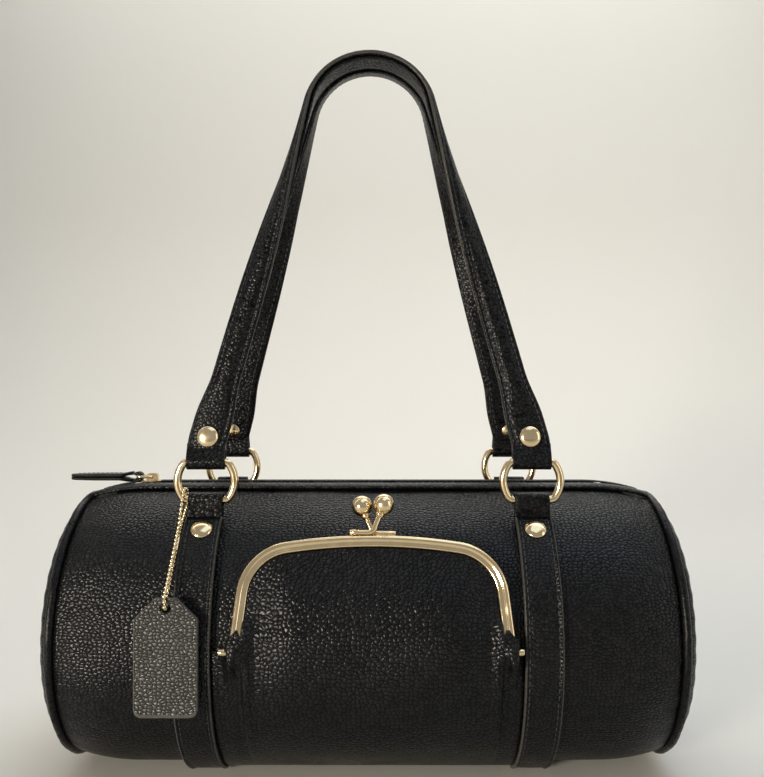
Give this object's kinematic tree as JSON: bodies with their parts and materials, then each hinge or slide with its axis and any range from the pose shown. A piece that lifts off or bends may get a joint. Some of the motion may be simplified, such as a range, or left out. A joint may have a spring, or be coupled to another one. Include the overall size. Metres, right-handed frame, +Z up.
{
  "type": "barrel bag",
  "caption": "Small cylindrical leather handbag with tall twin handles on rings, a zip along the top and a kiss-lock pocket on its front.",
  "frame": {"origin": "on the surface that the bag stands on, under the middle of its length and depth", "axes": "+Z up, +X along the barrel to the right of someone facing the pocket, the pocket side is -Y"},
  "size_m": [0.299, 0.1451, 0.3437],
  "materials": {
    "grained_leather": "pebbled, semi-gloss",
    "smooth_leather": "smooth, semi-gloss",
    "gold_metal": "polished pale gold",
    "cloth": "woven"
  },
  "bodies": {
    "bag": {"body_panel": "grained_leather", "clasp_back": "gold_metal", "end_panel_left": "grained_leather", "end_panel_right": "grained_leather", "frame_pins": "gold_metal", "lining": "cloth", "piping_left": "smooth_leather", "piping_right": "smooth_leather", "pocket_collar": "grained_leather", "pocket_frame_back": "gold_metal", "pocket_front": "grained_leather", "ring_tab_back_left": "grained_leather", "ring_tab_back_right": "grained_leather", "ring_tab_front_left": "grained_leather", "ring_tab_front_right": "grained_leather", "strap_filler_left": "smooth_leather", "strap_filler_right": "smooth_leather", "strap_left": "grained_leather", "strap_right": "grained_leather", "tab_rivets_back": "gold_metal", "tab_rivets_front": "gold_metal", "zip_facing_back": "smooth_leather", "zip_facing_front": "smooth_leather", "zip_stops": "gold_metal", "zip_tape_back": "cloth", "zip_tape_front": "cloth", "zip_teeth_back": "gold_metal", "zip_teeth_front": "gold_metal"},
    "front_rings": {"ring_front_left": "gold_metal", "ring_front_right": "gold_metal"},
    "front_handle": {"handle_front_band": "grained_leather", "handle_front_strip": "smooth_leather", "handle_front_rivets": "gold_metal"},
    "back_rings": {"ring_back_left": "gold_metal", "ring_back_right": "gold_metal"},
    "back_handle": {"handle_back_band": "grained_leather", "handle_back_strip": "smooth_leather", "handle_back_rivets": "gold_metal"},
    "pocket_frame": {"pocket_frame_front": "gold_metal", "clasp_front": "gold_metal"},
    "slider": {"zip_slider": "gold_metal"},
    "zip_pull": {"zip_pull_link": "gold_metal", "zip_pull_leather": "smooth_leather"},
    "hang_chain": {"tag_chain": "gold_metal", "tag_connector": "gold_metal"},
    "hang_tag": {"tag": "grained_leather"}
  },
  "joints": [
    {"name": "front_ring_swing", "type": "hinge", "parent": "bag", "child": "front_rings", "pos_m": [0, -0.03283, 0.12822], "axis": [1, 0, 0], "range_deg": [0, 80]},
    {"name": "front_handle_swing", "type": "hinge", "parent": "front_rings", "child": "front_handle", "pos_m": [0, -0.03283, 0.14552], "axis": [1, 0, 0], "range_deg": [0, 30]},
    {"name": "back_ring_swing", "type": "hinge", "parent": "bag", "child": "back_rings", "pos_m": [0, 0.03919, 0.12822], "axis": [-1, 0, 0], "range_deg": [0, 80]},
    {"name": "back_handle_swing", "type": "hinge", "parent": "back_rings", "child": "back_handle", "pos_m": [0, 0.03919, 0.14552], "axis": [-1, 0, 0], "range_deg": [0, 30]},
    {"name": "pocket_open", "type": "hinge", "parent": "bag", "child": "pocket_frame", "pos_m": [0.002, -0.06967, 0.06972], "axis": [1, 0, 0], "range_deg": [0, 60], "deforming": ["pocket_front"]},
    {"name": "zip_slide", "type": "slide", "parent": "bag", "child": "slider", "axis": [1, 0, 0], "range_m": [0, 0.21], "deforming": ["zip_teeth_front", "zip_teeth_back"]},
    {"name": "pull_flip", "type": "hinge", "parent": "slider", "child": "zip_pull", "pos_m": [-0.1084, 0.00318, 0.13528], "axis": [0, 1, 0], "range_deg": [0, 150]},
    {"name": "chain_swing", "type": "hinge", "parent": "bag", "child": "hang_chain", "pos_m": [-0.0841, -0.03283, 0.12822], "axis": [-1, 0, 0], "range_deg": [0, 35]},
    {"name": "tag_swing", "type": "hinge", "parent": "hang_chain", "child": "hang_tag", "pos_m": [-0.0841, -0.06812, 0.08782], "axis": [0, 1, 0], "range_deg": [-20, 35]}
  ]
}
